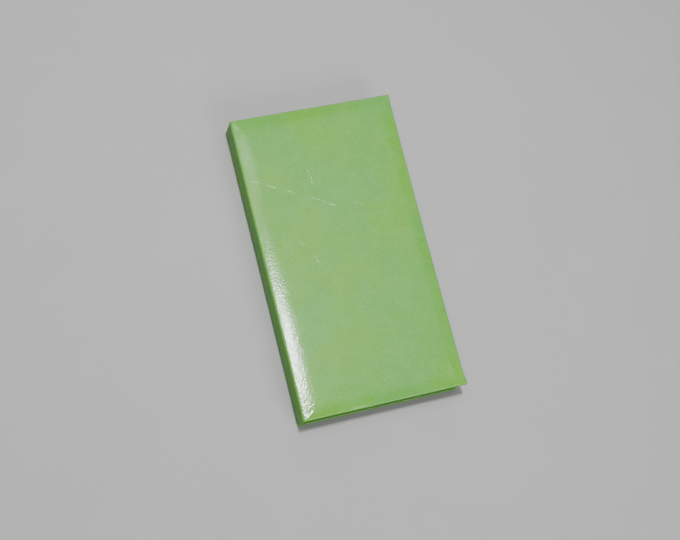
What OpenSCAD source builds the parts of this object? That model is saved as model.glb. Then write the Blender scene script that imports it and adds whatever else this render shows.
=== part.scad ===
// Book-form leather card deck box: a shallow tray with three wells, glued to
// the back cover of a leather case. The spine turns on the back cover and the
// front cover turns on the spine, so the case opens flat on a table.
// x runs from the spine to the fore-edge, y from the foot to the head, z up.
// The origin is the centre of the resting face.

/* [Case] */
// Width over the covers, from the spine to the front cover's fore-edge
case_w = 106; // [102:1:120]
// Length over the covers, from foot to head
case_l = 194; // [186:1:220]
// Height of the closed case at the crown of the padded front cover
case_h = 21.5; // [20:0.5:32]
// Height of the padded crown over the front cover's edges
crown_h = 0.7; // [0.4:0.1:1.2]
// How far the back cover stops short of the front cover at the fore-edge
back_setback = 1.4; // [0:0.1:4]
// Ledge of cover that shows outside the tray at head, foot and fore-edge
square = 2; // [1:0.5:4]

/* [Sheet goods] */
// Thickness of the covering leather
leather_t = 0.7; // [0.5:0.1:0.9]
// Thickness of the leather turn-ins, pared thin, and of the liners beside them
liner_t = 0.4; // [0.3:0.1:0.6]
// Thickness of the three cover boards
board_t = 1.2; // [1:0.1:1.6]
// Width of the turn-ins inside the covers
turn_in = 12; // [8:1:16]

/* [Hinges] */
// Outside radius of the leather where it bends round a spine edge
bend_r = 2.3; // [2.2:0.1:2.6]
// Width of the joint cloth glued to each cover
joint_cloth_w = 6.7; // [5:0.1:10]

/* [Tray] */
// Thickness of the head, foot and rear wall boards
wall_t = 1.6; // [1.2:0.1:2]
// Thickness of the fore-edge wall board, which holds the magnets
fore_wall_t = 3; // [2.8:0.1:4]
// Thickness of the tray's base board
base_t = 0.8; // [0.6:0.1:1.2]
// Thickness of the leather wrapped round the tray and over its rim
wrap_t = 0.5; // [0.4:0.1:0.7]
// Thickness of the pad on each well's floor
pad_t = 0.5; // [0.4:0.1:1]
// Gap between the tray's rim and the closed front cover
rim_gap = 0.3; // [0.3:0.1:0.6]
// Gap between the tray's rear wall and the spine
spine_gap = 0.4; // [0.4:0.1:0.8]

/* [Wells] */
// Clear length along y of each deck well
deck_well = 66.5; // [64:0.5:70]
// Thickness of each divider board
divider_t = 1.6; // [1.2:0.1:2]
// Radius of the finger notch in each divider
notch_r = 13; // [10:0.5:16]
// Depth of the finger notch below the rim
notch_depth = 10; // [6:0.5:11]

/* [Closure] */
// Distance of the magnets from the middle of the fore-edge
magnet_y = 60; // [30:1:75]
// Length of each bar magnet
magnet_l = 8; // [5:1:12]
// Width of each bar magnet
magnet_w = 1.8; // [1.4:0.1:2]
// Height of each bar magnet
magnet_h = 5; // [3:0.5:8]

/* [Hidden] */
$fn = 64;

// Outer faces of the case.
x_spine = -case_w / 2;
x_front = case_w / 2;
x_back = x_front - back_setback;
y_end = case_l / 2;
// The covers start where the bend round the spine's edge ends.
x_cover = x_spine + bend_r;
z_edge = case_h - crown_h;

// Levels of the back cover.
z_back_board = leather_t;
z_back_liner = z_back_board + board_t;
z_back_top = z_back_liner + liner_t;
// Levels of the front cover, downwards from its edge.
padding_edge_t = 0.1;
z_board_top = z_edge - leather_t - padding_edge_t;
z_board_bottom = z_board_top - board_t;
z_lid_inside = z_board_bottom - liner_t;
// The padded crown slopes down to the cover's edges over these widths.
spine_slope = 11;
fore_slope = 7;
end_slope = 5;

// Layers of the spine.
x_spine_board = x_spine + leather_t;
x_spine_liner = x_spine_board + board_t;
x_spine_inside = x_spine_liner + liner_t;
z_spine_low = bend_r;
z_spine_high = z_edge - bend_r;
// Each joint cloth climbs this far up or down the spine's inside.
joint_cloth_h = 3.8;
x_joint_cloth = x_cover + joint_cloth_w;

// Tray: outside, boards and inside.
x_tray_rear = x_spine_inside + spine_gap;
x_tray_fore = x_back - square;
y_tray = y_end - square;
x_rear_board = x_tray_rear + wrap_t;
x_fore_board = x_tray_fore - wrap_t;
y_wall_board = y_tray - wrap_t;
x_well_rear = x_rear_board + wall_t;
x_well_fore = x_fore_board - fore_wall_t;
y_well_end = y_wall_board - wall_t;
z_rim = z_lid_inside - rim_gap;
z_wall_top = z_rim - wrap_t;
z_base_top = z_back_top + base_t;
z_pad_top = z_base_top + pad_t;

// Dividers, measured from each end of the tray.
y_divider_outer = y_well_end - liner_t - deck_well;
y_divider_board = y_divider_outer - wrap_t;
y_divider_inner = y_divider_board - divider_t - wrap_t;
z_notch_centre = z_rim + notch_r - notch_depth;

// Steel plates in the front cover, over the magnets and longer at each end.
plate_w = 4;
plate_lap = 2;
plate_l = magnet_l + 2 * plate_lap;
plate_t = 0.5;
x_magnet = x_fore_board - fore_wall_t / 2;

// Cuts run this far past the faces that they open.
past = 1;

// A block between two corners.
module block(low, high) {
    translate(low) cube(high - low);
}

// The same thing at the head and, mirrored, at the foot.
module both_ends() {
    children();
    mirror([0, 1, 0]) children();
}

// An outline in x and z, extruded along y between two ends.
module along_y(y0, y1) {
    translate([0, y1, 0]) rotate([90, 0, 0])
        linear_extrude(height = y1 - y0) children();
}

// An outline in y and z, extruded along x between two ends.
module along_x(x0, x1) {
    translate([x0, 0, 0]) rotate([90, 0, 90])
        linear_extrude(height = x1 - x0) children();
}

// A slab whose top rises from its edges to a flat crown.
module crowned(x0, x1, y_half, z0, z_rim_edge, z_crown) {
    intersection() {
        along_y(-y_half, y_half) polygon([
            [x0, z0], [x1, z0], [x1, z_rim_edge], [x1 - fore_slope, z_crown],
            [x0 + spine_slope, z_crown], [x0, z_rim_edge]
        ]);
        along_x(x0, x1) polygon([
            [-y_half, z0], [y_half, z0], [y_half, z_rim_edge],
            [y_half - end_slope, z_crown], [end_slope - y_half, z_crown],
            [-y_half, z_rim_edge]
        ]);
    }
}

// A quarter bend of leather about the centre (x, z), in the quadrant given by side.
module bend(z, side) {
    along_y(-y_end, y_end) translate([x_cover, z]) intersection() {
        difference() {
            circle(r = bend_r);
            circle(r = bend_r - leather_t);
        }
        translate([-bend_r, side > 0 ? 0 : -bend_r]) square(bend_r);
    }
}

// ---- Back cover ----

module back_board() {
    color("tan") block([x_cover, leather_t - y_end, z_back_board],
                       [x_back - leather_t, y_end - leather_t, z_back_liner]);
}

module back_leather() {
    color("yellowgreen") difference() {
        block([x_cover, -y_end, 0], [x_back, y_end, z_back_top]);
        block([x_cover - past, leather_t - y_end, z_back_board],
              [x_back - leather_t, y_end - leather_t, z_back_liner]);
        block([x_cover - past, turn_in - y_end, z_back_board],
              [x_back - turn_in, y_end - turn_in, z_back_top + past]);
    }
}

module back_liner() {
    color("darkolivegreen") block([x_joint_cloth, turn_in - y_end, z_back_liner],
                                  [x_back - turn_in, y_end - turn_in, z_back_top]);
}

// ---- Tray ----

module tray_base() {
    color("tan") block([x_well_rear, -y_well_end, z_back_top],
                       [x_well_fore, y_well_end, z_base_top]);
}

module end_wall() {
    block([x_rear_board, y_well_end, z_back_top],
          [x_fore_board, y_wall_board, z_wall_top]);
}

module tray_head_wall() {
    color("tan") end_wall();
}

module tray_foot_wall() {
    color("tan") mirror([0, 1, 0]) end_wall();
}

// A magnet stands in a slot in the fore-edge wall, just under the rim's leather.
module magnet() {
    block([x_magnet - magnet_w / 2, magnet_y - magnet_l / 2, z_wall_top - magnet_h],
          [x_magnet + magnet_w / 2, magnet_y + magnet_l / 2, z_wall_top]);
}

module tray_fore_wall() {
    color("tan") difference() {
        block([x_well_fore, -y_well_end, z_back_top],
              [x_fore_board, y_well_end, z_wall_top]);
        both_ends() magnet();
    }
}

module tray_rear_wall() {
    color("tan") block([x_rear_board, -y_well_end, z_back_top],
                       [x_well_rear, y_well_end, z_wall_top]);
}

// The leather covers the walls outside and folds over their tops.
module tray_leather() {
    color("darkgreen") difference() {
        block([x_tray_rear, -y_tray, z_back_top], [x_tray_fore, y_tray, z_rim]);
        block([x_rear_board, -y_wall_board, z_back_top - past],
              [x_fore_board, y_wall_board, z_wall_top]);
        block([x_well_rear, -y_well_end, z_back_top],
              [x_well_fore, y_well_end, z_rim + past]);
    }
}

// The finger notch, cut through a divider, grown by extra.
module notch(extra) {
    translate([(x_well_rear + x_well_fore) / 2, y_divider_outer + past, z_notch_centre])
        rotate([90, 0, 0])
            cylinder(r = notch_r + extra, h = y_divider_outer - y_divider_inner + 2 * past);
}

module divider() {
    difference() {
        block([x_well_rear, y_divider_board - divider_t, z_base_top],
              [x_well_fore, y_divider_board, z_wall_top]);
        notch(wrap_t);
    }
}

module head_divider() {
    color("tan") divider();
}

module foot_divider() {
    color("tan") mirror([0, 1, 0]) divider();
}

// The lining cloth wraps each divider on both faces, over its top and round its notch.
module divider_wrap() {
    difference() {
        block([x_well_rear, y_divider_inner, z_base_top],
              [x_well_fore, y_divider_outer, z_rim]);
        notch(0);
        divider();
    }
}

module head_divider_wrap() {
    color("darkolivegreen") divider_wrap();
}

module foot_divider_wrap() {
    color("darkolivegreen") mirror([0, 1, 0]) divider_wrap();
}

// Three walls of a deck well: the end wall, the rear wall and the fore-edge wall.
module deck_well_lining() {
    difference() {
        block([x_well_rear, y_divider_outer, z_base_top],
              [x_well_fore, y_well_end, z_rim]);
        block([x_well_rear + liner_t, y_divider_outer - past, z_base_top - past],
              [x_well_fore - liner_t, y_well_end - liner_t, z_rim + past]);
    }
}

module head_well_lining() {
    color("darkolivegreen") deck_well_lining();
}

module foot_well_lining() {
    color("darkolivegreen") mirror([0, 1, 0]) deck_well_lining();
}

module middle_well_lining() {
    color("darkolivegreen") difference() {
        block([x_well_rear, -y_divider_inner, z_base_top],
              [x_well_fore, y_divider_inner, z_rim]);
        block([x_well_rear + liner_t, -y_divider_inner - past, z_base_top - past],
              [x_well_fore - liner_t, y_divider_inner + past, z_rim + past]);
    }
}

module well_pad(y0, y1) {
    block([x_well_rear + liner_t, y0, z_base_top],
          [x_well_fore - liner_t, y1, z_pad_top]);
}

module head_well_pad() {
    color("olivedrab") well_pad(y_divider_outer, y_well_end - liner_t);
}

module foot_well_pad() {
    color("olivedrab") well_pad(liner_t - y_well_end, -y_divider_outer);
}

module middle_well_pad() {
    color("olivedrab") well_pad(-y_divider_inner, y_divider_inner);
}

module closure_magnets() {
    color("silver") both_ends() magnet();
}

// ---- Spine ----

module spine_board() {
    color("tan") block([x_spine_board, leather_t - y_end, z_spine_low],
                       [x_spine_liner, y_end - leather_t, z_spine_high]);
}

module spine_leather() {
    color("yellowgreen") difference() {
        block([x_spine, -y_end, z_spine_low], [x_spine_inside, y_end, z_spine_high]);
        block([x_spine_board, leather_t - y_end, z_spine_low - past],
              [x_spine_liner, y_end - leather_t, z_spine_high + past]);
        block([x_spine_board, turn_in - y_end, z_spine_low - past],
              [x_spine_inside + past, y_end - turn_in, z_spine_high + past]);
    }
}

module spine_liner() {
    color("darkolivegreen")
        block([x_spine_liner, turn_in - y_end, z_back_top + joint_cloth_h],
              [x_spine_inside, y_end - turn_in, z_lid_inside - joint_cloth_h]);
}

module back_hinge_leather() {
    color("yellowgreen") bend(z_spine_low, -1);
}

module back_joint_cloth() {
    color("darkolivegreen") along_y(turn_in - y_end, y_end - turn_in) polygon([
        [x_spine_liner, z_back_liner], [x_joint_cloth, z_back_liner],
        [x_joint_cloth, z_back_top], [x_spine_inside, z_back_top],
        [x_spine_inside, z_back_top + joint_cloth_h],
        [x_spine_liner, z_back_top + joint_cloth_h]
    ]);
}

// ---- Front cover ----

// A steel plate lies in the underside of the front board, over each magnet.
module plate() {
    block([x_magnet - plate_w / 2, magnet_y - plate_l / 2, z_board_bottom],
          [x_magnet + plate_w / 2, magnet_y + plate_l / 2, z_board_bottom + plate_t]);
}

module front_board() {
    color("tan") difference() {
        block([x_cover, leather_t - y_end, z_board_bottom],
              [x_front - leather_t, y_end - leather_t, z_board_top]);
        both_ends() plate();
    }
}

module front_padding() {
    color("beige") crowned(x_cover, x_front - leather_t, y_end - leather_t,
                           z_board_top, z_edge - leather_t, case_h - leather_t);
}

module front_leather() {
    color("yellowgreen") difference() {
        crowned(x_cover, x_front, y_end, z_lid_inside, z_edge, case_h);
        crowned(x_cover, x_front - leather_t, y_end - leather_t,
                z_board_bottom, z_edge - leather_t, case_h - leather_t);
        block([x_cover - past, turn_in - y_end, z_lid_inside - past],
              [x_front - turn_in, y_end - turn_in, z_board_top]);
    }
}

module front_liner() {
    color("darkolivegreen") block([x_joint_cloth, turn_in - y_end, z_lid_inside],
                                  [x_front - turn_in, y_end - turn_in, z_board_bottom]);
}

module closure_plates() {
    color("silver") both_ends() plate();
}

module front_hinge_leather() {
    color("yellowgreen") bend(z_spine_high, 1);
}

module front_joint_cloth() {
    color("darkolivegreen") along_y(turn_in - y_end, y_end - turn_in) polygon([
        [x_spine_liner, z_board_bottom], [x_joint_cloth, z_board_bottom],
        [x_joint_cloth, z_lid_inside], [x_spine_inside, z_lid_inside],
        [x_spine_inside, z_lid_inside - joint_cloth_h],
        [x_spine_liner, z_lid_inside - joint_cloth_h]
    ]);
}

back_board();
back_leather();
back_liner();
tray_base();
tray_head_wall();
tray_foot_wall();
tray_fore_wall();
tray_rear_wall();
tray_leather();
head_divider();
foot_divider();
head_divider_wrap();
foot_divider_wrap();
head_well_lining();
foot_well_lining();
middle_well_lining();
head_well_pad();
foot_well_pad();
middle_well_pad();
closure_magnets();
spine_board();
spine_leather();
spine_liner();
back_hinge_leather();
back_joint_cloth();
front_board();
front_padding();
front_leather();
front_liner();
closure_plates();
front_hinge_leather();
front_joint_cloth();
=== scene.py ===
"""The looks of the card deck box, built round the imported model.

Lengths in the geometry are millimetres, in the model's own frame: x runs from
the spine to the fore-edge, y from the foot to the head and z up. make_piece()
turns them into metres.
"""
import math

import bpy
import numpy as np
from mathutils import Matrix, Vector, noise


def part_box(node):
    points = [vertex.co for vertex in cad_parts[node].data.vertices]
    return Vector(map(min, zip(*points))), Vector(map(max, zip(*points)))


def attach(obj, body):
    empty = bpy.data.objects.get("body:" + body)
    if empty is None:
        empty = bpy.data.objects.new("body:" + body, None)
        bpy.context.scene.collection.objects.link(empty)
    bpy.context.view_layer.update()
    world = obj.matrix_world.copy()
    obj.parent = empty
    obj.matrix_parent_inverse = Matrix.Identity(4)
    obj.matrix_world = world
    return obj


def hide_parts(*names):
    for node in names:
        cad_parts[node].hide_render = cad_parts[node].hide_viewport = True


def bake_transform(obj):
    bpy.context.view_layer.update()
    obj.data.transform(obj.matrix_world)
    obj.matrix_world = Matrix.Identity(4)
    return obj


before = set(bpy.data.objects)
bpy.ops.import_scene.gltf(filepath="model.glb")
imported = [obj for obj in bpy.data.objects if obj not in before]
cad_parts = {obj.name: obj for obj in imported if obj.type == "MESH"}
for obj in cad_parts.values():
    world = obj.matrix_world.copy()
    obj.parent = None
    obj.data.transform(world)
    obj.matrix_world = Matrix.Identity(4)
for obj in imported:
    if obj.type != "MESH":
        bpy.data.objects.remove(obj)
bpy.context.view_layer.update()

MM = 0.001

# ---- Sizes read from the frame ----


def low_high(node):
    """A CAD node's lowest and highest corners, in millimetres."""
    low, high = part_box(node)
    return np.array(low) / MM, np.array(high) / MM


FRONT_LOW, FRONT_HIGH = low_high("front_leather")
_, BACK_HIGH = low_high("back_leather")
BEND_LOW, BEND_HIGH = low_high("front_hinge_leather")
TRAY_LOW, TRAY_HIGH = low_high("tray_leather")

X_SPINE = BEND_LOW[0]
X_COVER = BEND_HIGH[0]
HALF_Y = FRONT_HIGH[1]
EDGE_Z = BEND_HIGH[2]
SEAM_Z = EDGE_Z / 2
EDGE_OUT = EDGE_Z - SEAM_Z
HINGE_OUT = EDGE_OUT - (X_COVER - X_SPINE)

# ---- How the leather is worked ----

SKIN_T = 0.5
EDGE_ROLL = 1.0
UNDER_ROLL = 0.7
OUTER_BEND = 1.4
INNER_BEND = 0.3
TURN_IN = 12.0
TUCK = 0.8
TUCK_DEPTH = 0.3
CROWN_POWER = 2.2
SPINE_SLOPE = 12.0
FORE_SLOPE = 8.0
END_SLOPE = 8.0
EDGE_SHARE = 0.15


# ---- Small helpers for shapes ----


def smooth(t):
    """0 below 0, 1 above 1 and a soft step between."""
    t = np.clip(t, 0.0, 1.0)
    return t * t * (3.0 - 2.0 * t)


def bell(t):
    """1 at 0, falling softly to 0 on both sides."""
    return np.exp(-np.square(t))


def rise(t):
    """A padded edge: steep at 0, level from 1 on."""
    return 1.0 - np.power(1.0 - np.clip(t, 0.0, 1.0), CROWN_POWER)


def spaced(start, end, fine, coarse, ramp):
    """Places from start to end, a fine step apart near both ends and a coarse one in the middle."""
    places = [0.0]
    span = end - start
    while places[-1] < span:
        near = max(0.0, min(places[-1], span - places[-1]))
        places.append(places[-1] + fine + (coarse - fine) * min(1.0, near / ramp))
    places = np.array(places)
    return start + places * span / places[-1]


def ripples(points, length, height, seed):
    """Soft bumps of about that length and height, one value for each point."""
    shift = Vector((seed * 7.3, seed * 3.1, seed * 5.7))
    return height * np.array([noise.noise(Vector(p) / length + shift) for p in points])


def off_segment(points, start, end):
    """Distance in x and y from each point to the line between two places."""
    start, end = np.array(start, float), np.array(end, float)
    along = end - start
    share = np.clip((points[:, :2] - start) @ along / (along @ along), 0.0, 1.0)
    return np.linalg.norm(points[:, :2] - start - share[:, None] * along, axis=1)


def grid_faces(rows, columns, start=0, flip=False):
    """Quads over a grid of points that is stored row after row."""
    faces = []
    for i in range(rows - 1):
        for j in range(columns - 1):
            a = start + i * columns + j
            face = (a, a + columns, a + columns + 1, a + 1)
            faces.append(face[::-1] if flip else face)
    return faces


def vertex_normals(points, faces):
    """Outward normals of a mesh, weighted by area."""
    total = np.zeros_like(points)
    for face in faces:
        corner = points[list(face)]
        across = corner[2] - corner[0]
        other = corner[-1] - corner[1]
        total[list(face)] += np.cross(across, other)
    return total / np.maximum(np.linalg.norm(total, axis=1), 1e-12)[:, None]


def thicken(points, faces, thickness):
    """Closes a sheet into a thin shell, and returns its points, faces and sharp edges."""
    count = len(points)
    inner = points - vertex_normals(points, faces) * thickness
    shell = list(faces) + [tuple(count + v for v in face[::-1]) for face in faces]
    used = {}
    for face in faces:
        for a, b in zip(face, face[1:] + face[:1]):
            used[(a, b)] = True
    sharp = []
    for a, b in used:
        if (b, a) not in used:
            shell.append((b, a, count + a, count + b))
            sharp += [(a, b), (count + a, count + b)]
    return np.vstack([points, inner]), shell, sharp


def make_piece(name, points, faces, sharp=(), material=None):
    """A smooth-shaded object from points in millimetres, which keeps its rest places for its patterns."""
    mesh = bpy.data.meshes.new(name)
    metres = np.asarray(points, float) * MM
    mesh.from_pydata(metres.tolist(), [], [tuple(int(v) for v in f) for f in faces])
    mesh.polygons.foreach_set("use_smooth", [True] * len(mesh.polygons))
    wanted = {frozenset(pair) for pair in sharp}
    for edge in mesh.edges if wanted else ():
        if frozenset(edge.vertices) in wanted:
            edge.use_edge_sharp = True
    rest = mesh.attributes.new("rest_pos", "FLOAT_VECTOR", "POINT")
    rest.data.foreach_set("vector", metres.astype(np.float32).ravel())
    mesh.update()
    obj = bpy.data.objects.new(name, mesh)
    bpy.context.scene.collection.objects.link(obj)
    if material:
        mesh.materials.append(material)
    return obj


# ---- Node trees ----


class Finish:
    """A material's node tree, with short calls for the nodes that these finishes use."""

    def __init__(self, name):
        self.material = bpy.data.materials.new(name)
        self.material.use_nodes = True
        self.tree = self.material.node_tree
        self.shader = self.tree.nodes["Principled BSDF"]

    def add(self, kind, inputs=(), **settings):
        node = self.tree.nodes.new(kind)
        for key, value in settings.items():
            setattr(node, key, value)
        for key, value in dict(inputs).items():
            if isinstance(value, bpy.types.NodeSocket):
                self.tree.links.new(value, node.inputs[key])
            else:
                node.inputs[key].default_value = value
        return node

    def place(self, rest=True):
        """Where the surface point lies at rest, in millimetres."""
        if rest:
            source = self.add("ShaderNodeAttribute", attribute_name="rest_pos").outputs["Vector"]
        else:
            source = self.add("ShaderNodeTexCoord").outputs["Object"]
        return self.vector("SCALE", source, scale=1.0 / MM)

    def vector(self, operation, a, b=None, scale=None):
        inputs = {0: a}
        if b is not None:
            inputs[1] = b
        if scale is not None:
            inputs["Scale"] = scale
        node = self.add("ShaderNodeVectorMath", inputs, operation=operation)
        is_number = operation in ("DISTANCE", "DOT_PRODUCT", "LENGTH")
        return node.outputs["Value" if is_number else "Vector"]

    def math(self, operation, a, b=0.0, clamp=False):
        node = self.add("ShaderNodeMath", {0: a, 1: b}, operation=operation, use_clamp=clamp)
        return node.outputs[0]

    def noise(self, place, size, detail=2.0, roughness=0.5, distortion=0.0):
        """Noise whose features are about size millimetres across."""
        inputs = {"Vector": place, "Scale": 1.0 / size, "Detail": detail}
        inputs.update({"Roughness": roughness, "Distortion": distortion})
        return self.add("ShaderNodeTexNoise", inputs).outputs["Fac"]

    def wander(self, place, size):
        """A vector that drifts about zero, for bending a pattern."""
        node = self.add("ShaderNodeTexNoise", {"Vector": place, "Scale": 1.0 / size, "Detail": 2.0})
        return self.vector("SUBTRACT", node.outputs["Color"], (0.5, 0.5, 0.5))

    def cells(self, place, size):
        inputs = {"Vector": place, "Scale": 1.0 / size}
        return self.add("ShaderNodeTexVoronoi", inputs).outputs["Distance"]

    def remap(self, value, low, high, to_low=0.0, to_high=1.0):
        """A soft step from one number to another."""
        inputs = {0: value, 1: low, 2: high, 3: to_low, 4: to_high}
        node = self.add("ShaderNodeMapRange", inputs, interpolation_type="SMOOTHSTEP")
        return node.outputs[0]

    def mix(self, share, a, b, blend="MIX"):
        node = self.add("ShaderNodeMix", {0: share, 6: a, 7: b}, data_type="RGBA", blend_type=blend)
        return node.outputs[2]

    def bump(self, height, strength, distance, normal=None):
        inputs = {"Height": height, "Strength": strength, "Distance": distance * MM}
        if normal is not None:
            inputs["Normal"] = normal
        return self.add("ShaderNodeBump", inputs).outputs["Normal"]

    def set(self, **values):
        """Sets the shader's own sockets: spaces in their names are written as underscores."""
        for key, value in values.items():
            socket = self.shader.inputs[key.replace("_", " ")]
            if isinstance(value, bpy.types.NodeSocket):
                self.tree.links.new(value, socket)
            else:
                socket.default_value = value


def rgb(r, g, b):
    return (r, g, b, 1.0)


# Marks on the front cover, as places in x and y on it.
SCRATCHES = [
    [(-49.5, 56), (-46.5, 54.5), (-43, 53.5)],
    [(-40, 52), (-37.5, 50), (-35, 49)],
    [(-27.5, 46), (-24, 43.5)],
    [(-15, 40), (-12, 37.5), (-7, 35), (0, 30.5)],
    [(13.5, 30), (18, 27)],
    [(-12, 57.5), (-11, 53.5)],
    [(-11, 52), (-11, 47.5)],
    [(-27.5, 12), (-27, 10)],
    [(-21, 2), (-19.5, -3)],
]
SPECKS = [(-4, 54.5), (24.5, -74), (-18, -73.5), (4, 91)]


def scratch_distance(finish, flat):
    """Distance from the surface point to the nearest scratch or speck, in millimetres."""
    nearest = None
    for line in SCRATCHES:
        for start, end in zip(line, line[1:]):
            along = (end[0] - start[0], end[1] - start[1], 0.0)
            length_2 = along[0] ** 2 + along[1] ** 2
            offset = finish.vector("SUBTRACT", flat, (*start, 0.0))
            share = finish.vector("DOT_PRODUCT", offset, along)
            share = finish.math("DIVIDE", share, length_2, clamp=True)
            foot = finish.vector("SCALE", along, scale=share)
            gap = finish.vector("DISTANCE", offset, foot)
            nearest = gap if nearest is None else finish.math("MINIMUM", nearest, gap)
    for speck in SPECKS:
        gap = finish.vector("DISTANCE", flat, (*speck, 0.0))
        nearest = finish.math("MINIMUM", nearest, gap)
    return nearest


def leather(name, marks=False, painted_shade=1.0):
    """Green leather with a polished grain, mottled by handling. marks adds the front cover's scratches. A
    darkening factor multiplies every colour. The tray's leather is darkened to 0.24 of the cover's colour as
    painted shade, standing in for the shadow in the gap under the front cover's edge.
    """

    def green(r, g, b):
        return rgb(painted_shade * r, painted_shade * g, painted_shade * b)

    f = Finish(name)
    place = f.place()
    patches = f.noise(place, 30.0, detail=3.0, roughness=0.55)
    clouds = f.noise(place, 9.0, detail=4.0, roughness=0.6)
    grain = f.noise(place, 1.2, detail=3.0, roughness=0.65)
    pores = f.cells(f.vector("ADD", place, f.vector("SCALE", f.wander(place, 2.0), scale=0.8)), 1.25)
    yellower = green(0.130, 0.365, 0.034)
    bluer = green(0.108, 0.350, 0.058)
    colour = f.mix(f.remap(patches, 0.36, 0.64), yellower, bluer)
    colour = f.mix(f.remap(clouds, 0.3, 0.75, 0.0, 0.35), colour, green(0.17, 0.42, 0.09))
    colour = f.mix(f.remap(grain, 0.3, 0.7, 0.14, 0.0), colour, green(0.07, 0.22, 0.02))
    colour = f.mix(f.remap(grain, 0.4, 0.8, 0.0, 0.20), colour, green(0.26, 0.50, 0.18))
    rough = f.remap(clouds, 0.3, 0.7, 0.46, 0.56)
    height = f.math("SUBTRACT", grain, f.math("MULTIPLY", pores, 0.7))
    if marks:
        split = f.add("ShaderNodeSeparateXYZ", {0: place})
        wander = f.vector("SCALE", f.wander(place, 2.9), scale=3.0)
        flat = f.vector("MULTIPLY", f.vector("ADD", place, wander), (1.0, 1.0, 0.0))
        ragged = f.math("MULTIPLY", f.noise(place, 1.1, detail=3.0), 0.7)
        gap = f.math("ADD", scratch_distance(f, flat), ragged)
        on_top = f.remap(split.outputs["Z"], EDGE_Z - 0.6, EDGE_Z)
        scratch = f.math("MULTIPLY", f.remap(gap, 0.3, 0.62, 1.0, 0.0), on_top)
        broken = f.remap(f.noise(place, 1.6, detail=2.0), 0.38, 0.52, 0.2, 1.0)
        scratch = f.math("MULTIPLY", scratch, broken)
        colour = f.mix(f.math("MULTIPLY", scratch, 0.85), colour, rgb(0.62, 0.78, 0.48))
        rough = f.math("ADD", rough, f.math("MULTIPLY", scratch, 0.15))
        height = f.math("ADD", height, f.math("MULTIPLY", scratch, 0.8))
    normal = f.bump(clouds, 0.10, 0.15)
    normal = f.bump(height, 0.43, 0.12, normal)
    f.set(Base_Color=colour, Roughness=rough, Normal=normal, Coat_Normal=normal)
    f.set(Coat_Weight=0.22, Coat_Roughness=0.15, Coat_IOR=2.0, Specular_IOR_Level=0.0)
    return f.material


def suede(name, dark, light):
    """Short-napped lining suede, with brushed patches."""
    f = Finish(name)
    place = f.place()
    brushed = f.noise(place, 11.0, detail=3.0, roughness=0.6, distortion=0.6)
    nap = f.noise(place, 0.35, detail=4.0, roughness=0.7)
    colour = f.mix(f.remap(brushed, 0.3, 0.7), dark, light)
    colour = f.mix(f.remap(nap, 0.3, 0.7, 0.3, 0.0), colour, rgb(0.01, 0.025, 0.008))
    normal = f.bump(nap, 0.5, 0.12, f.bump(brushed, 0.3, 0.3))
    f.set(Base_Color=colour, Roughness=f.remap(nap, 0.3, 0.7, 0.86, 0.98), Normal=normal)
    f.set(Sheen_Weight=0.10, Sheen_Roughness=0.6, Sheen_Tint=light, Specular_IOR_Level=0.1)
    return f.material


def felt(name):
    """Pressed wool felt: tangled fibres and flecks."""
    f = Finish(name)
    place = f.place()
    tangle = f.noise(place, 1.3, detail=5.0, roughness=0.7, distortion=1.2)
    fibres = f.noise(place, 0.3, detail=4.0, roughness=0.7, distortion=0.8)
    flecks = f.cells(place, 1.7)
    colour = f.mix(f.remap(tangle, 0.35, 0.65), rgb(0.046, 0.105, 0.030), rgb(0.072, 0.150, 0.044))
    colour = f.mix(f.remap(flecks, 0.05, 0.16, 0.35, 0.0), colour, rgb(0.16, 0.25, 0.10))
    height = f.math("ADD", tangle, f.math("MULTIPLY", fibres, 0.7))
    f.set(Base_Color=colour, Roughness=f.remap(fibres, 0.3, 0.7, 0.88, 1.0))
    f.set(Normal=f.bump(height, 0.6, 0.2), Sheen_Weight=0.08, Specular_IOR_Level=0.1)
    return f.material


def greyboard(name):
    """Bookbinder's greyboard: pulp fibres and darker specks."""
    f = Finish(name)
    place = f.place(rest=False)
    stretched = f.vector("MULTIPLY", place, (1.0, 0.35, 1.0))
    pulp = f.noise(stretched, 1.4, detail=5.0, roughness=0.65, distortion=0.5)
    specks = f.cells(place, 2.3)
    colour = f.mix(f.remap(pulp, 0.35, 0.65), rgb(0.25, 0.21, 0.16), rgb(0.36, 0.31, 0.24))
    colour = f.mix(f.remap(specks, 0.06, 0.14, 0.6, 0.0), colour, rgb(0.10, 0.08, 0.06))
    f.set(Base_Color=colour, Roughness=f.remap(pulp, 0.3, 0.7, 0.82, 0.95))
    f.set(Normal=f.bump(pulp, 0.5, 0.1), Specular_IOR_Level=0.25)
    return f.material


def steel(name):
    """Bright plated steel with fine brushing along y."""
    f = Finish(name)
    place = f.place(rest=False)
    brushed = f.noise(f.vector("MULTIPLY", place, (1.0, 0.05, 1.0)), 0.12, detail=3.0)
    stains = f.noise(place, 2.5, detail=3.0)
    colour = f.mix(f.remap(stains, 0.35, 0.7), rgb(0.62, 0.62, 0.60), rgb(0.50, 0.49, 0.46))
    f.set(Base_Color=colour, Roughness=f.remap(brushed, 0.3, 0.7, 0.24, 0.40))
    f.set(Normal=f.bump(brushed, 0.2, 0.02), Metallic=1.0)
    return f.material


def foam(name):
    """Open-cell padding foam."""
    f = Finish(name)
    place = f.place()
    bubbles = f.cells(place, 0.9)
    tint = f.noise(place, 12.0, detail=2.0)
    colour = f.mix(f.remap(tint, 0.35, 0.65), rgb(0.72, 0.66, 0.50), rgb(0.78, 0.73, 0.58))
    colour = f.mix(f.remap(bubbles, 0.1, 0.45, 0.4, 0.0), colour, rgb(0.45, 0.38, 0.25))
    f.set(Base_Color=colour, Roughness=f.remap(bubbles, 0.1, 0.5, 0.98, 0.85))
    f.set(Normal=f.bump(bubbles, 0.7, 0.3), Specular_IOR_Level=0.2)
    return f.material


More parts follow.
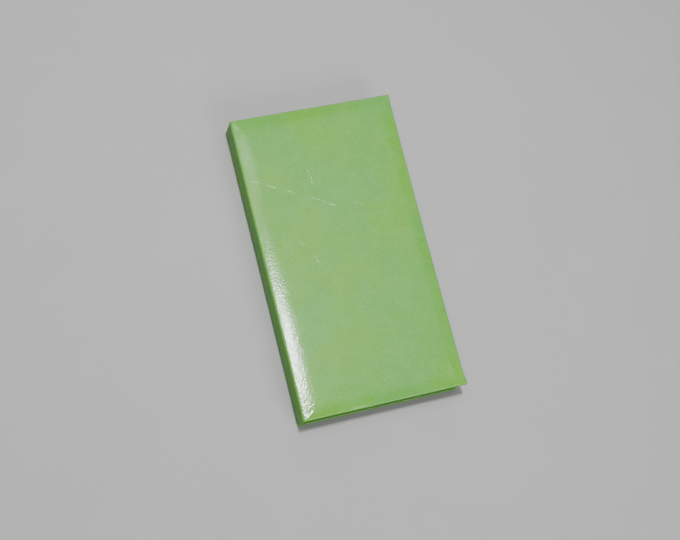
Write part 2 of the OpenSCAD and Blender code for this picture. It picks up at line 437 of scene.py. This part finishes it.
COVER_LEATHER = leather("marked_cover_leather", marks=True)
PLAIN_LEATHER = leather("cover_leather")
# The tray's leather is the cover leather darkened to 0.24: painted shade for the dark gap between the front
# cover's edge and the back cover's ledge, seen all round the tray.
PAINTED_SHADE_TRAY_LEATHER = leather("tray_leather", painted_shade=0.24)
LINING = suede("lining_suede", rgb(0.024, 0.064, 0.021), rgb(0.031, 0.078, 0.025))
FELT = felt("well_felt")
BOARD = greyboard("greyboard")
STEEL = steel("plated_steel")
FOAM = foam("padding_foam")


# ---- The leather skins of the two covers ----


def face_start(crown):
    """Where the bend over the spine's edge turns into the cover's face: x, distance out and lean."""
    lean = math.atan(CROWN_POWER * crown / SPINE_SLOPE)
    x = X_SPINE + OUTER_BEND * (1.0 - math.sin(lean))
    return x, EDGE_OUT - OUTER_BEND * (1.0 - math.cos(lean)), lean


def section(crown, fore_x, under_out, fine, coarse):
    """The cover's section from the seam in the spine to the roll at the fore-edge.

    It gives the outer line, its normals' angles and the underside, in x and distance out from the seam.
    """
    start_x, start_out, lean = face_start(crown)
    bend_x, bend_out = X_SPINE + OUTER_BEND, EDGE_OUT - OUTER_BEND
    outer, angles, under = [], [], []
    for out in spaced(0.0, bend_out, 0.8, 1.2, 3.0)[:-1]:
        outer.append((X_SPINE, out))
        angles.append(math.pi)
        inner = out * HINGE_OUT / bend_out
        under.append((X_COVER - INNER_BEND * smooth((inner - HINGE_OUT + 3.0) / 3.0), inner))
    for angle in np.linspace(math.pi, math.pi / 2 + lean, 10):
        outer.append((bend_x + OUTER_BEND * math.cos(angle), bend_out + OUTER_BEND * math.sin(angle)))
        angles.append(angle)
        under.append((X_COVER + INNER_BEND * math.cos(angle), HINGE_OUT + INNER_BEND * math.sin(angle)))
    for x in spaced(start_x, fore_x - EDGE_ROLL, fine, coarse, 14.0)[1:]:
        along = x - start_x
        crowned = start_out + (EDGE_OUT + crown - start_out) * rise(along / SPINE_SLOPE)
        outer.append((x, crowned))
        angles.append(math.pi / 2 + lean * float(1.0 - smooth(along / SPINE_SLOPE)))
        shift = (X_COVER - start_x) * float(1.0 - smooth(along / 6.0))
        fade = float(smooth(along / 4.0))
        under.append((x + shift, HINGE_OUT + INNER_BEND + (under_out - HINGE_OUT - INNER_BEND) * fade))
    return np.array(outer), np.array(angles), np.array(under)


def skin(crown, fore_x, under_out, fine, coarse, shape):
    """A cover's leather as a sheet: its face, the rolls over three edges and the turn-ins.

    shape(points) moves points. Heights are measured outwards from the seam.
    """
    outer, angles, under = section(crown, fore_x, under_out, fine, coarse)
    ys = spaced(EDGE_ROLL - HALF_Y, HALF_Y - EDGE_ROLL, fine, coarse, 14.0)
    rows, columns = len(outer), len(ys)
    last = rows - 1
    normals = np.stack([np.cos(angles), np.sin(angles)], axis=1)

    # The face, whose crown dies away towards the head, foot and fore-edge.
    base = np.zeros((rows, columns, 3))
    base[:, :, 0] = outer[:, 0][:, None]
    base[:, :, 1] = ys[None, :]
    on_face = smooth((outer[:, 0] - X_COVER) / 3.0)[:, None]
    end_share = EDGE_SHARE + (1 - EDGE_SHARE) * rise((HALF_Y - EDGE_ROLL - np.abs(ys)) / END_SLOPE)
    fore_share = EDGE_SHARE + (1 - EDGE_SHARE) * rise((fore_x - EDGE_ROLL - outer[:, 0]) / FORE_SLOPE)
    share = 1.0 - on_face * (1.0 - end_share[None, :] * fore_share[:, None])
    base[:, :, 2] = EDGE_OUT + (outer[:, 1][:, None] - EDGE_OUT) * share

    # The loop of places along the foot, round the two fore corners and along the head.
    fan = 5
    loop = [(i, 0, 0.0, -1.0, "foot") for i in range(rows)]
    for k in range(1, fan):
        turn = math.pi / 2 * k / fan
        loop.append((last, 0, math.sin(turn), -math.cos(turn), "corner"))
    loop += [(last, j, 1.0, 0.0, "fore") for j in range(columns)]
    for k in range(1, fan):
        turn = math.pi / 2 * k / fan
        loop.append((last, columns - 1, math.cos(turn), math.sin(turn), "corner"))
    loop += [(i, columns - 1, 0.0, 1.0, "head") for i in range(last, -1, -1)]

    def lean_at(i, j, ox, oy):
        """Slope of the face at the start of the roll."""
        along_x = base[i - 1, j, 2] - base[i, j, 2]
        fore = math.atan2(along_x, base[i, j, 0] - base[i - 1, j, 0]) if ox else 0.0
        k = 1 if j == 0 else j - 1
        drop = (base[i, k, 2] - base[i, j, 2]) * normals[i][1]
        end = math.atan2(drop, abs(base[i, k, 1] - base[i, j, 1])) if oy else 0.0
        return max(0.0, fore * ox ** 2 + end * oy ** 2)

    def thickness(i, j):
        """The way from the face to the underside."""
        return under[i] - base[i, j, [0, 2]]

    def rolled(i, j, ox, oy, out, depth):
        """A point that far outwards and that deep below the start of the roll."""
        way = thickness(i, j) * depth / np.linalg.norm(thickness(i, j))
        return base[i, j, 0] + ox * out + way[0], base[i, j, 1] + oy * out, base[i, j, 2] + way[1]

    def turned_in(i, j, ox, oy, inset, lift):
        """A point of the turn-in, that far inside the outline."""
        radius = max(EDGE_ROLL - inset, INNER_BEND)
        end_x, end_y = fore_x - inset - radius, HALF_Y - inset - radius
        if ox == 0.0:
            at = under[i]
            if outer[i, 0] > X_COVER:
                shrink = (end_x - X_COVER) / (base[last, 0, 0] - X_COVER)
                x = X_COVER + (outer[i, 0] - X_COVER) * shrink
                at = np.interp(x, outer[:, 0], under[:, 0]), np.interp(x, outer[:, 0], under[:, 1])
            y = oy * (end_y + radius)
        else:
            x = end_x + ox * radius
            at = x, under_out
            y = ys[j] * end_y / ys[-1] if oy == 0.0 else math.copysign(end_y, oy) + oy * radius
        return at[0] + normals[i][0] * lift, y, at[1] + normals[i][1] * lift

    rings = []
    for theta in (0.2, 0.4, 0.6, 0.8, 1.0):
        ring = []
        for i, j, ox, oy, _ in loop:
            lean = lean_at(i, j, ox, oy)
            angle = lean + (math.pi / 2 - lean) * theta
            out = EDGE_ROLL * (math.sin(angle) - math.sin(lean)) / (1 - math.sin(lean))
            ring.append(rolled(i, j, ox, oy, out, EDGE_ROLL * (math.cos(lean) - math.cos(angle))))
        rings.append(ring)
    for angle in np.radians([0.0, 22.5, 45.0, 67.5, 90.0]):
        ring = []
        for i, j, ox, oy, _ in loop:
            out = EDGE_ROLL - UNDER_ROLL * (1 - math.cos(angle))
            depth = np.linalg.norm(thickness(i, j)) - UNDER_ROLL * (1 - math.sin(angle))
            ring.append(rolled(i, j, ox, oy, out, depth))
        rings.append(ring)
    for inset in (1.6, 3.0, 5.0, 8.0, TURN_IN):
        rings.append([turned_in(i, j, ox, oy, inset, 0.0) for i, j, ox, oy, _ in loop])
    rings.append([turned_in(i, j, ox, oy, TURN_IN + TUCK, TUCK_DEPTH) for i, j, ox, oy, _ in loop])

    points = np.vstack([base.reshape(-1, 3)] + [np.array(ring) for ring in rings])
    points = shape(points)
    faces = grid_faces(rows, columns)
    before = [i * columns + j for i, j, _, _, _ in loop]
    for number in range(len(rings)):
        after = [rows * columns + number * len(loop) + k for k in range(len(loop))]
        for k in range(len(loop) - 1):
            face = [after[k], after[k + 1], before[k + 1], before[k]]
            if face[2] == face[3]:
                face.pop()
            faces.append(tuple(face))
        before = after
    return points, faces


FORE_BOW = 0.45
FOOT_SAG = 0.35
NICK_X = -10.0


def front_shape(points):
    """The front cover's wear.

    It has a bowed fore-edge, flared corners, a sagging stretch and a nick at the
    foot, two creases and a soft unevenness.
    """
    x, y, out = points.T
    moved = points.copy()
    near_fore = smooth((x - 35.0) / 18.0)
    moved[:, 0] -= FORE_BOW * (1.0 - (y / HALF_Y) ** 2) * near_fore
    flare = smooth((x - 42.0) / 11.0)
    moved[:, 0] += flare * (0.8 * bell((y + HALF_Y) / 6.0) + 0.3 * bell((y - HALF_Y) / 6.0))
    on_top = smooth((out - EDGE_OUT + 3.0) / 2.0)
    near_foot = smooth((-y - HALF_Y + 3.0) / 2.6)
    sag = smooth((x + 25.0) / 4.0) * smooth((NICK_X - x) / 0.8)
    moved[:, 2] -= FOOT_SAG * sag * near_foot * on_top
    moved[:, 1] -= 0.35 * bell((x - NICK_X) / 0.6) * near_foot
    face = smooth((x - X_COVER) / 2.0) * smooth((out - EDGE_OUT + 0.3) / 0.2)
    crease = off_segment(points, (-49.5, -95.3), (-45.5, -92.8))
    ridge = off_segment(points, (46.5, -84.0), (46.5, -92.5))
    moved[:, 2] += face * (0.22 * bell(crease / 0.9) + 0.32 * bell(ridge / 1.6))
    moved[:, 2] += face * 0.2 * bell(np.hypot(x + 47.5, y - 86.0) / 4.0)
    inside = np.minimum(HALF_Y - np.abs(y), 53.0 - x)
    uneven = ripples(points, 26.0, 0.10, 1) + ripples(points, 7.0, 0.02, 2)
    moved[:, 2] += face * smooth(inside / 12.0) * uneven
    return moved


def back_shape(points):
    """The back cover lies flat, so its leather is uneven only round its edges."""
    x, _, out = points.T
    moved = points.copy()
    inside = smooth((EDGE_OUT - 0.5 - out) / 1.0) * smooth((x - X_COVER - 3.0) / 3.0)
    moved[:, 2] += inside * ripples(points, 14.0, 0.06, 3)
    return moved


def place_skin(points, sign):
    """Heights out from the seam become z: upwards for the front cover, downwards for the back."""
    placed = points.copy()
    placed[:, 2] = SEAM_Z + sign * points[:, 2]
    return placed


def front_skin():
    under_out = FRONT_LOW[2] - SEAM_Z
    crown = FRONT_HIGH[2] - EDGE_Z
    points, faces = skin(crown, FRONT_HIGH[0], under_out, 0.55, 1.7, front_shape)
    points = place_skin(points, 1)
    obj = make_piece("front_cover_skin", *thicken(points, faces, SKIN_T), COVER_LEATHER)
    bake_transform(obj)
    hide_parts("front_leather", "front_hinge_leather", "spine_leather")


def back_skin():
    under_out = SEAM_Z - BACK_HIGH[2]
    points, faces = skin(0.0, BACK_HIGH[0], under_out, 0.8, 3.0, back_shape)
    points = place_skin(points, -1)
    faces = [face[::-1] for face in faces]
    obj = make_piece("back_cover_skin", *thicken(points, faces, SKIN_T), PLAIN_LEATHER)
    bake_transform(obj)
    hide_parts("back_leather", "back_hinge_leather")


# ---- Flat goods: liners, pads and padding ----


def slab(low, high, roll, spacing, lift=None, face_down=False):
    """A soft-edged sheet or pad that fills a box.

    One face is level. The other is rolled at its edges and raised by lift(x, y, inside).
    """
    xs = spaced(low[0], high[0], roll / 3, spacing, 4.0)
    ys = spaced(low[1], high[1], roll / 3, spacing, 4.0)
    x, y = np.meshgrid(xs, ys, indexing="ij")
    inside = np.minimum.reduce([x - low[0], high[0] - x, y - low[1], high[1] - y])
    drop = roll * (1 - np.sqrt(1 - (1 - np.clip(inside / roll, 0, 1)) ** 2))
    height = high[2] - low[2]
    soft = height - np.minimum(drop, height * 0.8)
    if lift is not None:
        soft = soft + lift(x, y, inside)
    level = np.zeros_like(soft)
    if face_down:
        level, soft = soft * 0.0 + high[2], high[2] - soft
    else:
        level, soft = level + low[2], low[2] + soft
    count = x.size
    points = np.vstack([
        np.stack([x.ravel(), y.ravel(), soft.ravel()], axis=1),
        np.stack([x.ravel(), y.ravel(), level.ravel()], axis=1),
    ])
    rows, columns = x.shape
    faces = grid_faces(rows, columns, 0, face_down) + grid_faces(rows, columns, count, not face_down)
    border = [i * columns for i in range(rows)]
    border += [(rows - 1) * columns + j for j in range(1, columns)]
    border += [i * columns + columns - 1 for i in range(rows - 2, -1, -1)]
    border += list(range(columns - 2, 0, -1))
    for a, b in zip(border, border[1:] + border[:1]):
        face = (b, a, count + a, count + b)
        faces.append(face[::-1] if face_down else face)
    return points, faces


OVERLAP = 0.6
PROUD = 0.12
# The joint cloths stand prouder and lap further, so the turn-ins stay behind them as the case opens.
JOINT_PROUD = 0.19
JOINT_LAP = 1.5 * OVERLAP


def liner(node, body, face_down, grow_low, grow_high):
    """A cover's suede liner, which laps a little over the turn-ins and stands slightly proud of them."""
    low, high = low_high(node)
    low = low - np.array([grow_low, OVERLAP, PROUD if face_down else 0.0])
    high = high + np.array([grow_high, OVERLAP, 0.0 if face_down else PROUD])

    def puckers(x, y, inside):
        """The glued suede's slight unevenness."""
        places = np.stack([x.ravel(), y.ravel(), 0 * x.ravel()], axis=1)
        return ripples(places, 9.0, 0.05, 4).reshape(x.shape) * smooth(inside / 3.0)

    points, faces = slab(low, high, 0.2, 3.0, puckers, face_down)
    obj = make_piece(node + "_suede", points, faces, (), LINING)
    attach(obj, body)
    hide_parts(node)


def spine_liner():
    """The suede strip down the inside of the spine."""
    low, high = low_high("spine_liner")
    ys = spaced(low[1] - OVERLAP, high[1] + OVERLAP, 0.3, 4.0, 4.0)
    zs = spaced(low[2] - OVERLAP, high[2] + OVERLAP, 0.1, 1.5, 2.0)
    rows = []
    for z in zs:
        edge = min(z - zs[0], zs[-1] - z)
        for y in ys:
            inside = min(edge, y - ys[0], ys[-1] - y)
            rows.append((high[0] + PROUD * float(smooth(inside / 0.4)), y, z))
    faces = grid_faces(len(zs), len(ys), 0, flip=True)
    points, faces, sharp = thicken(np.array(rows), faces, high[0] - low[0])
    obj = make_piece("spine_liner_suede", points, faces, sharp, LINING)
    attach(obj, "spine")
    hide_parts("spine_liner")


FOAM_MARGIN = 0.25
FOAM_EDGE = 0.1


def padding():
    """The thin foam under the front cover's leather, crowned like the cover."""
    low, high = low_high("front_padding")
    crown = high[2] - low[2]

    def sink(x, y, inside):
        share = rise((x - low[0]) / SPINE_SLOPE) * rise((high[0] - x) / FORE_SLOPE)
        share = share * smooth((high[1] - np.abs(y)) / END_SLOPE)
        return (share - 1.0) * (crown - FOAM_EDGE) - FOAM_MARGIN * smooth(inside / 3.0)

    points, faces = slab(low, high, 0.4, 2.5, sink)
    obj = make_piece("front_padding_foam", points, faces, (), FOAM)
    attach(obj, "cover")
    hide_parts("front_padding")


def well_pad(node):
    """A felt pad on a well's floor, with a pillowed edge and a slight hollow where the cards lie."""
    low, high = low_high(node)

    def hollow(x, y, inside):
        places = np.stack([x.ravel(), y.ravel(), 0 * x.ravel()], axis=1)
        return (ripples(places, 16.0, 0.08, 5).reshape(x.shape) - 0.06) * smooth(inside / 3.0)

    points, faces = slab(low, high, 0.45, 2.5, hollow)
    obj = make_piece(node + "_felt", points, faces, (), FELT)
    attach(obj, "tray")
    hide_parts(node)


# ---- The tray ----


def ring_places(low, high, radius, step, corner_steps=5):
    """Places round a rectangle with rounded corners, the same number whatever the rectangle's size."""
    places = []
    corners = [(high[0], low[1], -90), (high[0], high[1], 0), (low[0], high[1], 90), (low[0], low[1], 180)]
    for number, (cx, cy, start) in enumerate(corners):
        mx = cx - math.copysign(radius, cx)
        my = cy - math.copysign(radius, cy)
        for k in range(corner_steps + 1):
            angle = math.radians(start + 90 * k / corner_steps)
            places.append((mx + radius * math.cos(angle), my + radius * math.sin(angle)))
        after = corners[(number + 1) % 4]
        nx = after[0] - math.copysign(radius, after[0])
        ny = after[1] - math.copysign(radius, after[1])
        angle = math.radians(start + 90)
        end = (nx + radius * math.cos(angle), ny + radius * math.sin(angle))
        begin = places[-1]
        count = step[number % 2]
        for k in range(1, count):
            share = k / count
            places.append((begin[0] + (end[0] - begin[0]) * share, begin[1] + (end[1] - begin[1]) * share))
    return np.array(places)


RIM_ROLL = 0.7
RIM_INNER_ROLL = 0.4
RIM_TUCK = 3.0


def tray_skin():
    """The leather round the tray, folded over its rim and a little way down inside."""
    well_low = low_high("head_well_lining")[0]
    well_high = low_high("head_well_lining")[1]
    inner_low = np.array([well_low[0], -well_high[1]])
    inner_high = np.array([well_high[0], well_high[1]])
    counts = (32, 16)
    outside = ring_places(TRAY_LOW[:2], TRAY_HIGH[:2], 1.2, counts)
    inside = ring_places(inner_low, inner_high, INNER_BEND, counts)
    width = np.linalg.norm(inside - outside, axis=1)[:, None]
    rim, foot = TRAY_HIGH[2], TRAY_LOW[2]
    levels = (foot, foot + 2.5, foot + 6.0, rim - 4.0)
    profile = [("out", 0.0, level) for level in levels]
    for angle in np.radians([0, 22.5, 45, 67.5, 90]):
        inset = RIM_ROLL * (1 - math.cos(angle))
        profile.append(("out", inset, rim - RIM_ROLL * (1 - math.sin(angle))))
    for angle in np.radians([90, 60, 30, 0]):
        inset = RIM_INNER_ROLL * (1 - math.cos(angle))
        profile.append(("in", inset, rim - RIM_INNER_ROLL * (1 - math.sin(angle))))
    profile.append(("in", 0.0, rim - RIM_TUCK))
    rows = []
    for side, inset, z in profile:
        share = inset / width if side == "out" else 1.0 - inset / width
        ring = outside + (inside - outside) * share
        rows.append(np.column_stack([ring, np.full(len(ring), z)]))
    points = np.vstack(rows)
    points[:, 2] += 0.10 * smooth((points[:, 2] - rim + 0.8) / 0.8) * (ripples(points, 12.0, 1.0, 6) - 0.6)
    count = len(outside)
    faces = []
    for r in range(len(profile) - 1):
        for k in range(count):
            a, b = r * count + k, r * count + (k + 1) % count
            faces.append((a, b, b + count, a + count))
    points, faces, sharp = thicken(points, faces, 0.4)
    # The tray's leather is darkened as painted shade, for the shadowed gap under the front cover.
    obj = make_piece("tray_skin", points, faces, sharp, PAINTED_SHADE_TRAY_LEATHER)
    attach(obj, "tray")
    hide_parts("tray_leather")


LINING_DROP = 0.9
LINING_T = 0.4


def wall_strip(path, floor_z, top_z):
    """A strip of lining that stands along a path of places in x and y, with its face on the path's left."""
    zs = [floor_z, floor_z + 3.0, floor_z + 7.0, top_z - 3.0, top_z - 0.6, top_z - 0.25, top_z - 0.08, top_z]
    path = np.array(path)
    ahead = np.gradient(path, axis=0)
    ahead = ahead / np.linalg.norm(ahead, axis=1)[:, None]
    left = np.column_stack([-ahead[:, 1], ahead[:, 0]])
    rows = []
    for z in zs:
        back = 0.2 * float(smooth((z - top_z + 0.25) / 0.25)) ** 2
        rows.append(np.column_stack([path - left * back, np.full(len(path), z)]))
    points = np.vstack(rows)
    faces = grid_faces(len(zs), len(path), 0, flip=False)
    return points, faces


def joined(parts):
    """Several shells as one list of points, faces and sharp edges."""
    points, faces, sharp, start = [], [], [], 0
    for part_points, part_faces, part_sharp in parts:
        points.append(part_points)
        faces += [tuple(start + v for v in face) for face in part_faces]
        sharp += [(start + a, start + b) for a, b in part_sharp]
        start += len(part_points)
    return np.vstack(points), faces, sharp


def line(a, b, step):
    """Places from a to b, about a step apart."""
    a, b = np.array(a, float), np.array(b, float)
    count = max(2, int(np.linalg.norm(b - a) / step) + 1)
    return [tuple(a + (b - a) * k / (count - 1)) for k in range(count)]


def corner(centre, radius, start, end):
    """Places round a quarter corner, between two angles in degrees."""
    angles = np.radians(np.linspace(start, end, 6))
    return [(centre[0] + radius * math.cos(a), centre[1] + radius * math.sin(a)) for a in angles]


def deck_lining(node, sign):
    """The suede on the three outer walls of a deck well, bent round its two corners."""
    low, high = low_high(node)
    divider = high[1] if sign < 0 else low[1]
    end = (low[1] + LINING_T) if sign < 0 else (high[1] - LINING_T)
    rear, fore = low[0] + LINING_T, high[0] - LINING_T
    r = 0.8
    near = end - sign * r
    path = line((rear, divider), (rear, near), 5.0)[:-1]
    path += corner((rear + r, near), r, 180, 180 - 90 * sign)
    path += line((rear + r, end), (fore - r, end), 5.0)[1:-1]
    path += corner((fore - r, near), r, 90 * sign, 0)
    path += line((fore, near), (fore, divider), 5.0)[1:]
    if sign > 0:
        path = path[::-1]
    points, faces = wall_strip(path, low[2], high[2] - LINING_DROP)
    points, faces, sharp = thicken(points, faces, LINING_T)
    obj = make_piece(node + "_suede", points, faces, sharp, LINING)
    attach(obj, "tray")
    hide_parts(node)


def middle_lining():
    """Two strips of suede on the middle well's rear and fore-edge walls."""
    node = "middle_well_lining"
    low, high = low_high(node)
    rear, fore = low[0] + LINING_T, high[0] - LINING_T
    parts = []
    for x, y0, y1 in ((rear, high[1], low[1]), (fore, low[1], high[1])):
        points, faces = wall_strip(line((x, y0), (x, y1), 5.0), low[2], high[2] - LINING_DROP)
        parts.append(thicken(points, faces, LINING_T))
    obj = make_piece(node + "_suede", *joined(parts), LINING)
    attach(obj, "tray")
    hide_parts(node)


NOTCH_R = 13.0
NOTCH_DEPTH = 10.0
NOTCH_FILLET = 2.0


def notch_outline(low_x, high_x, rim):
    """The divider's top line from rear to fore: places in x and z, with their normals.

    The notch is an arc with rounded shoulders.
    """
    centre_x = (low_x + high_x) / 2
    centre_z = rim + NOTCH_R - NOTCH_DEPTH
    shoulder_z = rim - NOTCH_FILLET
    reach = NOTCH_R + NOTCH_FILLET
    shoulder_x = math.sqrt(reach ** 2 - (centre_z - shoulder_z) ** 2)
    meet = math.atan2(centre_z - shoulder_z, shoulder_x)
    half = []
    for angle in np.linspace(math.pi / 2, meet, 22):
        normal = (-math.cos(angle), math.sin(angle))
        half.append((NOTCH_R * math.cos(angle), centre_z - NOTCH_R * math.sin(angle), *normal))
    for angle in np.linspace(math.pi - meet, math.pi / 2, 9)[1:]:
        normal = (math.cos(angle), math.sin(angle))
        place = (shoulder_x + NOTCH_FILLET * normal[0], shoulder_z + NOTCH_FILLET * normal[1])
        half.append((*place, *normal))
    edge = (high_x - low_x) / 2
    for x in spaced(shoulder_x, edge, 1.5, 3.0, 6.0)[1:]:
        half.append((x, rim, 0.0, 1.0))
    right = [(centre_x + x, z, nx, nz) for x, z, nx, nz in half]
    left = [(centre_x - x, z, -nx, nz) for x, z, nx, nz in half[:0:-1]]
    return np.array(left + right)


WRAP_ROLL = 0.9


def divider_wrap(node):
    """The suede over a divider: both faces, the rounded top and the finger notch."""
    low, high = low_high(node)
    outline = notch_outline(low[0], high[0], high[2])
    half = (high[1] - low[1]) / 2
    middle = (high[1] + low[1]) / 2
    rows = []
    for share in (0.0, 0.35, 0.7, 0.92, 1.0):
        side_z = outline[:, 1] - outline[:, 3] * WRAP_ROLL
        z = low[2] + (side_z - low[2]) * share
        x = outline[:, 0] - outline[:, 2] * WRAP_ROLL
        rows.append(np.column_stack([x, np.full(len(x), middle - half), z]))
    for angle in np.radians([150, 120, 90, 60, 30]):
        sink = WRAP_ROLL * (1 - math.sin(angle))
        y = middle + math.copysign(half - WRAP_ROLL, math.cos(angle)) + WRAP_ROLL * math.cos(angle)
        if abs(math.cos(angle)) < 1e-6:
            y = middle
        x, z = outline[:, 0] - outline[:, 2] * sink, outline[:, 1] - outline[:, 3] * sink
        rows.append(np.column_stack([x, np.full(len(x), y), z]))
    for row in rows[4::-1]:
        rows.append(row * np.array([1, -1, 1]) + np.array([0, 2 * middle, 0]))
    points = np.vstack(rows)
    faces = grid_faces(len(rows), len(outline), 0, flip=True)
    points, faces, sharp = thicken(points, faces, 0.4)
    obj = make_piece(node + "_suede", points, faces, sharp, LINING)
    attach(obj, "tray")
    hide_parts(node)


# ---- The joint cloths ----


def joint_cloth(node, upper):
    """A suede strip in the angle between the spine and a cover."""
    low, high = low_high(node)
    sign = 1 if upper else -1
    leg_x = X_COVER + JOINT_PROUD
    flat_z = (high[2] - LINING_T - JOINT_PROUD) if upper else (low[2] + LINING_T + JOINT_PROUD)
    r = 0.9
    tip = low[2] if upper else high[2]
    path = [(leg_x, z) for z in np.linspace(tip, flat_z - sign * r, 5)[:-1]]
    for angle in np.radians(np.linspace(180, 90, 7)):
        path.append((leg_x + r + r * math.cos(angle), flat_z - sign * r + sign * r * math.sin(angle)))
    path += [(x, flat_z) for x in np.linspace(leg_x + r, high[0], 12)[1:]]
    ys = spaced(low[1] - JOINT_LAP, high[1] + JOINT_LAP, 0.5, 4.0, 4.0)
    points = np.array([(x, y, z) for x, z in path for y in ys])
    faces = grid_faces(len(path), len(ys), 0, flip=upper)
    points, faces, sharp = thicken(points, faces, LINING_T)
    obj = make_piece(node + "_suede", points, faces, sharp, LINING)
    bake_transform(obj)
    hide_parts(node)


# ---- The boards and the closure, which keep their CAD shapes ----


def dress(names, material):
    """Gives CAD nodes a material of their own."""
    for name in names:
        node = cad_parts[name]
        node.data.materials.clear()
        node.data.materials.append(material)


BOARDS = [
    "back_board", "front_board", "spine_board", "tray_base", "tray_head_wall", "tray_foot_wall",
    "tray_fore_wall", "tray_rear_wall", "head_divider", "foot_divider",
]

front_skin()
back_skin()
padding()
tray_skin()
deck_lining("head_well_lining", 1)
deck_lining("foot_well_lining", -1)
middle_lining()
for divider in ("head_divider_wrap", "foot_divider_wrap"):
    divider_wrap(divider)
for pad in ("head_well_pad", "foot_well_pad", "middle_well_pad"):
    well_pad(pad)
liner("back_liner", "tray", False, 0.0, OVERLAP)
liner("front_liner", "cover", True, OVERLAP, OVERLAP)
spine_liner()
joint_cloth("back_joint_cloth", upper=False)
joint_cloth("front_joint_cloth", upper=True)
dress(BOARDS, BOARD)
dress(["closure_magnets", "closure_plates"], STEEL)


# ---- Floor, light and camera ----

FLOOR_SIDE = 6.0


def floor():
    """A plain pale table top."""
    f = Finish("pale_floor")
    place = f.place()
    paper = f.noise(place, 60.0, detail=4.0, roughness=0.6)
    tooth = f.noise(place, 1.2, detail=3.0)
    f.set(Base_Color=f.mix(paper, rgb(0.37, 0.37, 0.36), rgb(0.40, 0.40, 0.39)))
    f.set(Roughness=0.85, Normal=f.bump(tooth, 0.1, 0.2), Specular_IOR_Level=0.2)
    half = FLOOR_SIDE / 2 / MM
    points = np.array([(-half, -half, 0.0), (half, -half, 0.0), (half, half, 0.0), (-half, half, 0.0)])
    make_piece("floor", points, [(0, 1, 2, 3)], (), f.material)


def area_light(name, place, size, power, tint, turn=None):
    """A rectangular soft light. It faces the object, or straight down and turned by so many degrees."""
    data = bpy.data.lights.new(name, "AREA")
    data.shape = "RECTANGLE"
    data.size, data.size_y = size
    data.energy = power
    data.color = tint
    lamp = bpy.data.objects.new(name, data)
    lamp.location = place
    if turn is None:
        lamp.rotation_euler = (-Vector(place)).to_track_quat("-Z", "Y").to_euler()
    else:
        lamp.rotation_euler = (0.0, 0.0, math.radians(turn))
    bpy.context.scene.collection.objects.link(lamp)


def lights():
    """Two wide soft panels overhead, a small bright one between them, and the rest of the lighting.

    A small lamp stands over the head, with a fill at the head and at the foot and a
    pale blue surround.
    """
    white = (0.98, 0.99, 1.0)
    area_light("ceiling_panel", (-0.28, 0.21, 1.0), (0.42, 0.40), 2.4, white, turn=0)
    area_light("side_panel", (0.23, 0.20, 1.0), (0.28, 0.46), 1.0, white, turn=0)
    area_light("key_panel", (-0.04, 0.08, 0.99), (0.03, 0.11), 9.8, white, turn=-23)
    area_light("head_lamp", (-0.01, 0.39, 0.99), (0.06, 0.05), 0.8, white, turn=0)
    area_light("head_fill", (0.25, 0.75, 0.60), (0.4, 0.2), 0.7, white)
    area_light("foot_fill", (0.25, -0.85, 0.75), (0.5, 0.5), 6.5, (1.0, 0.99, 0.97))
    world = bpy.data.worlds.new("surround")
    world.use_nodes = True
    world.node_tree.nodes["Background"].inputs["Color"].default_value = (0.82, 0.90, 1.0, 1.0)
    world.node_tree.nodes["Background"].inputs["Strength"].default_value = 0.12
    bpy.context.scene.world = world


def camera():
    """The camera stands above the spine side, turned on its own axis."""
    azimuth, elevation, roll = math.radians(-52.5), math.radians(71.7), math.radians(39.5)
    target = Vector((-0.0049, -0.0083, 0.01075))
    distance = 0.842
    back = Vector((
        math.sin(azimuth) * math.cos(elevation),
        -math.cos(azimuth) * math.cos(elevation),
        math.sin(elevation),
    ))
    data = bpy.data.cameras.new("camera")
    data.lens = 70.95
    data.sensor_width = 36.0
    data.clip_start = 0.01
    cam = bpy.data.objects.new("camera", data)
    turn = (-back).to_track_quat("-Z", "Y").to_matrix() @ Matrix.Rotation(roll, 3, "Z")
    cam.matrix_world = Matrix.Translation(target + back * distance) @ turn.to_4x4()
    bpy.context.scene.collection.objects.link(cam)
    bpy.context.scene.camera = cam


floor()
lights()
camera()
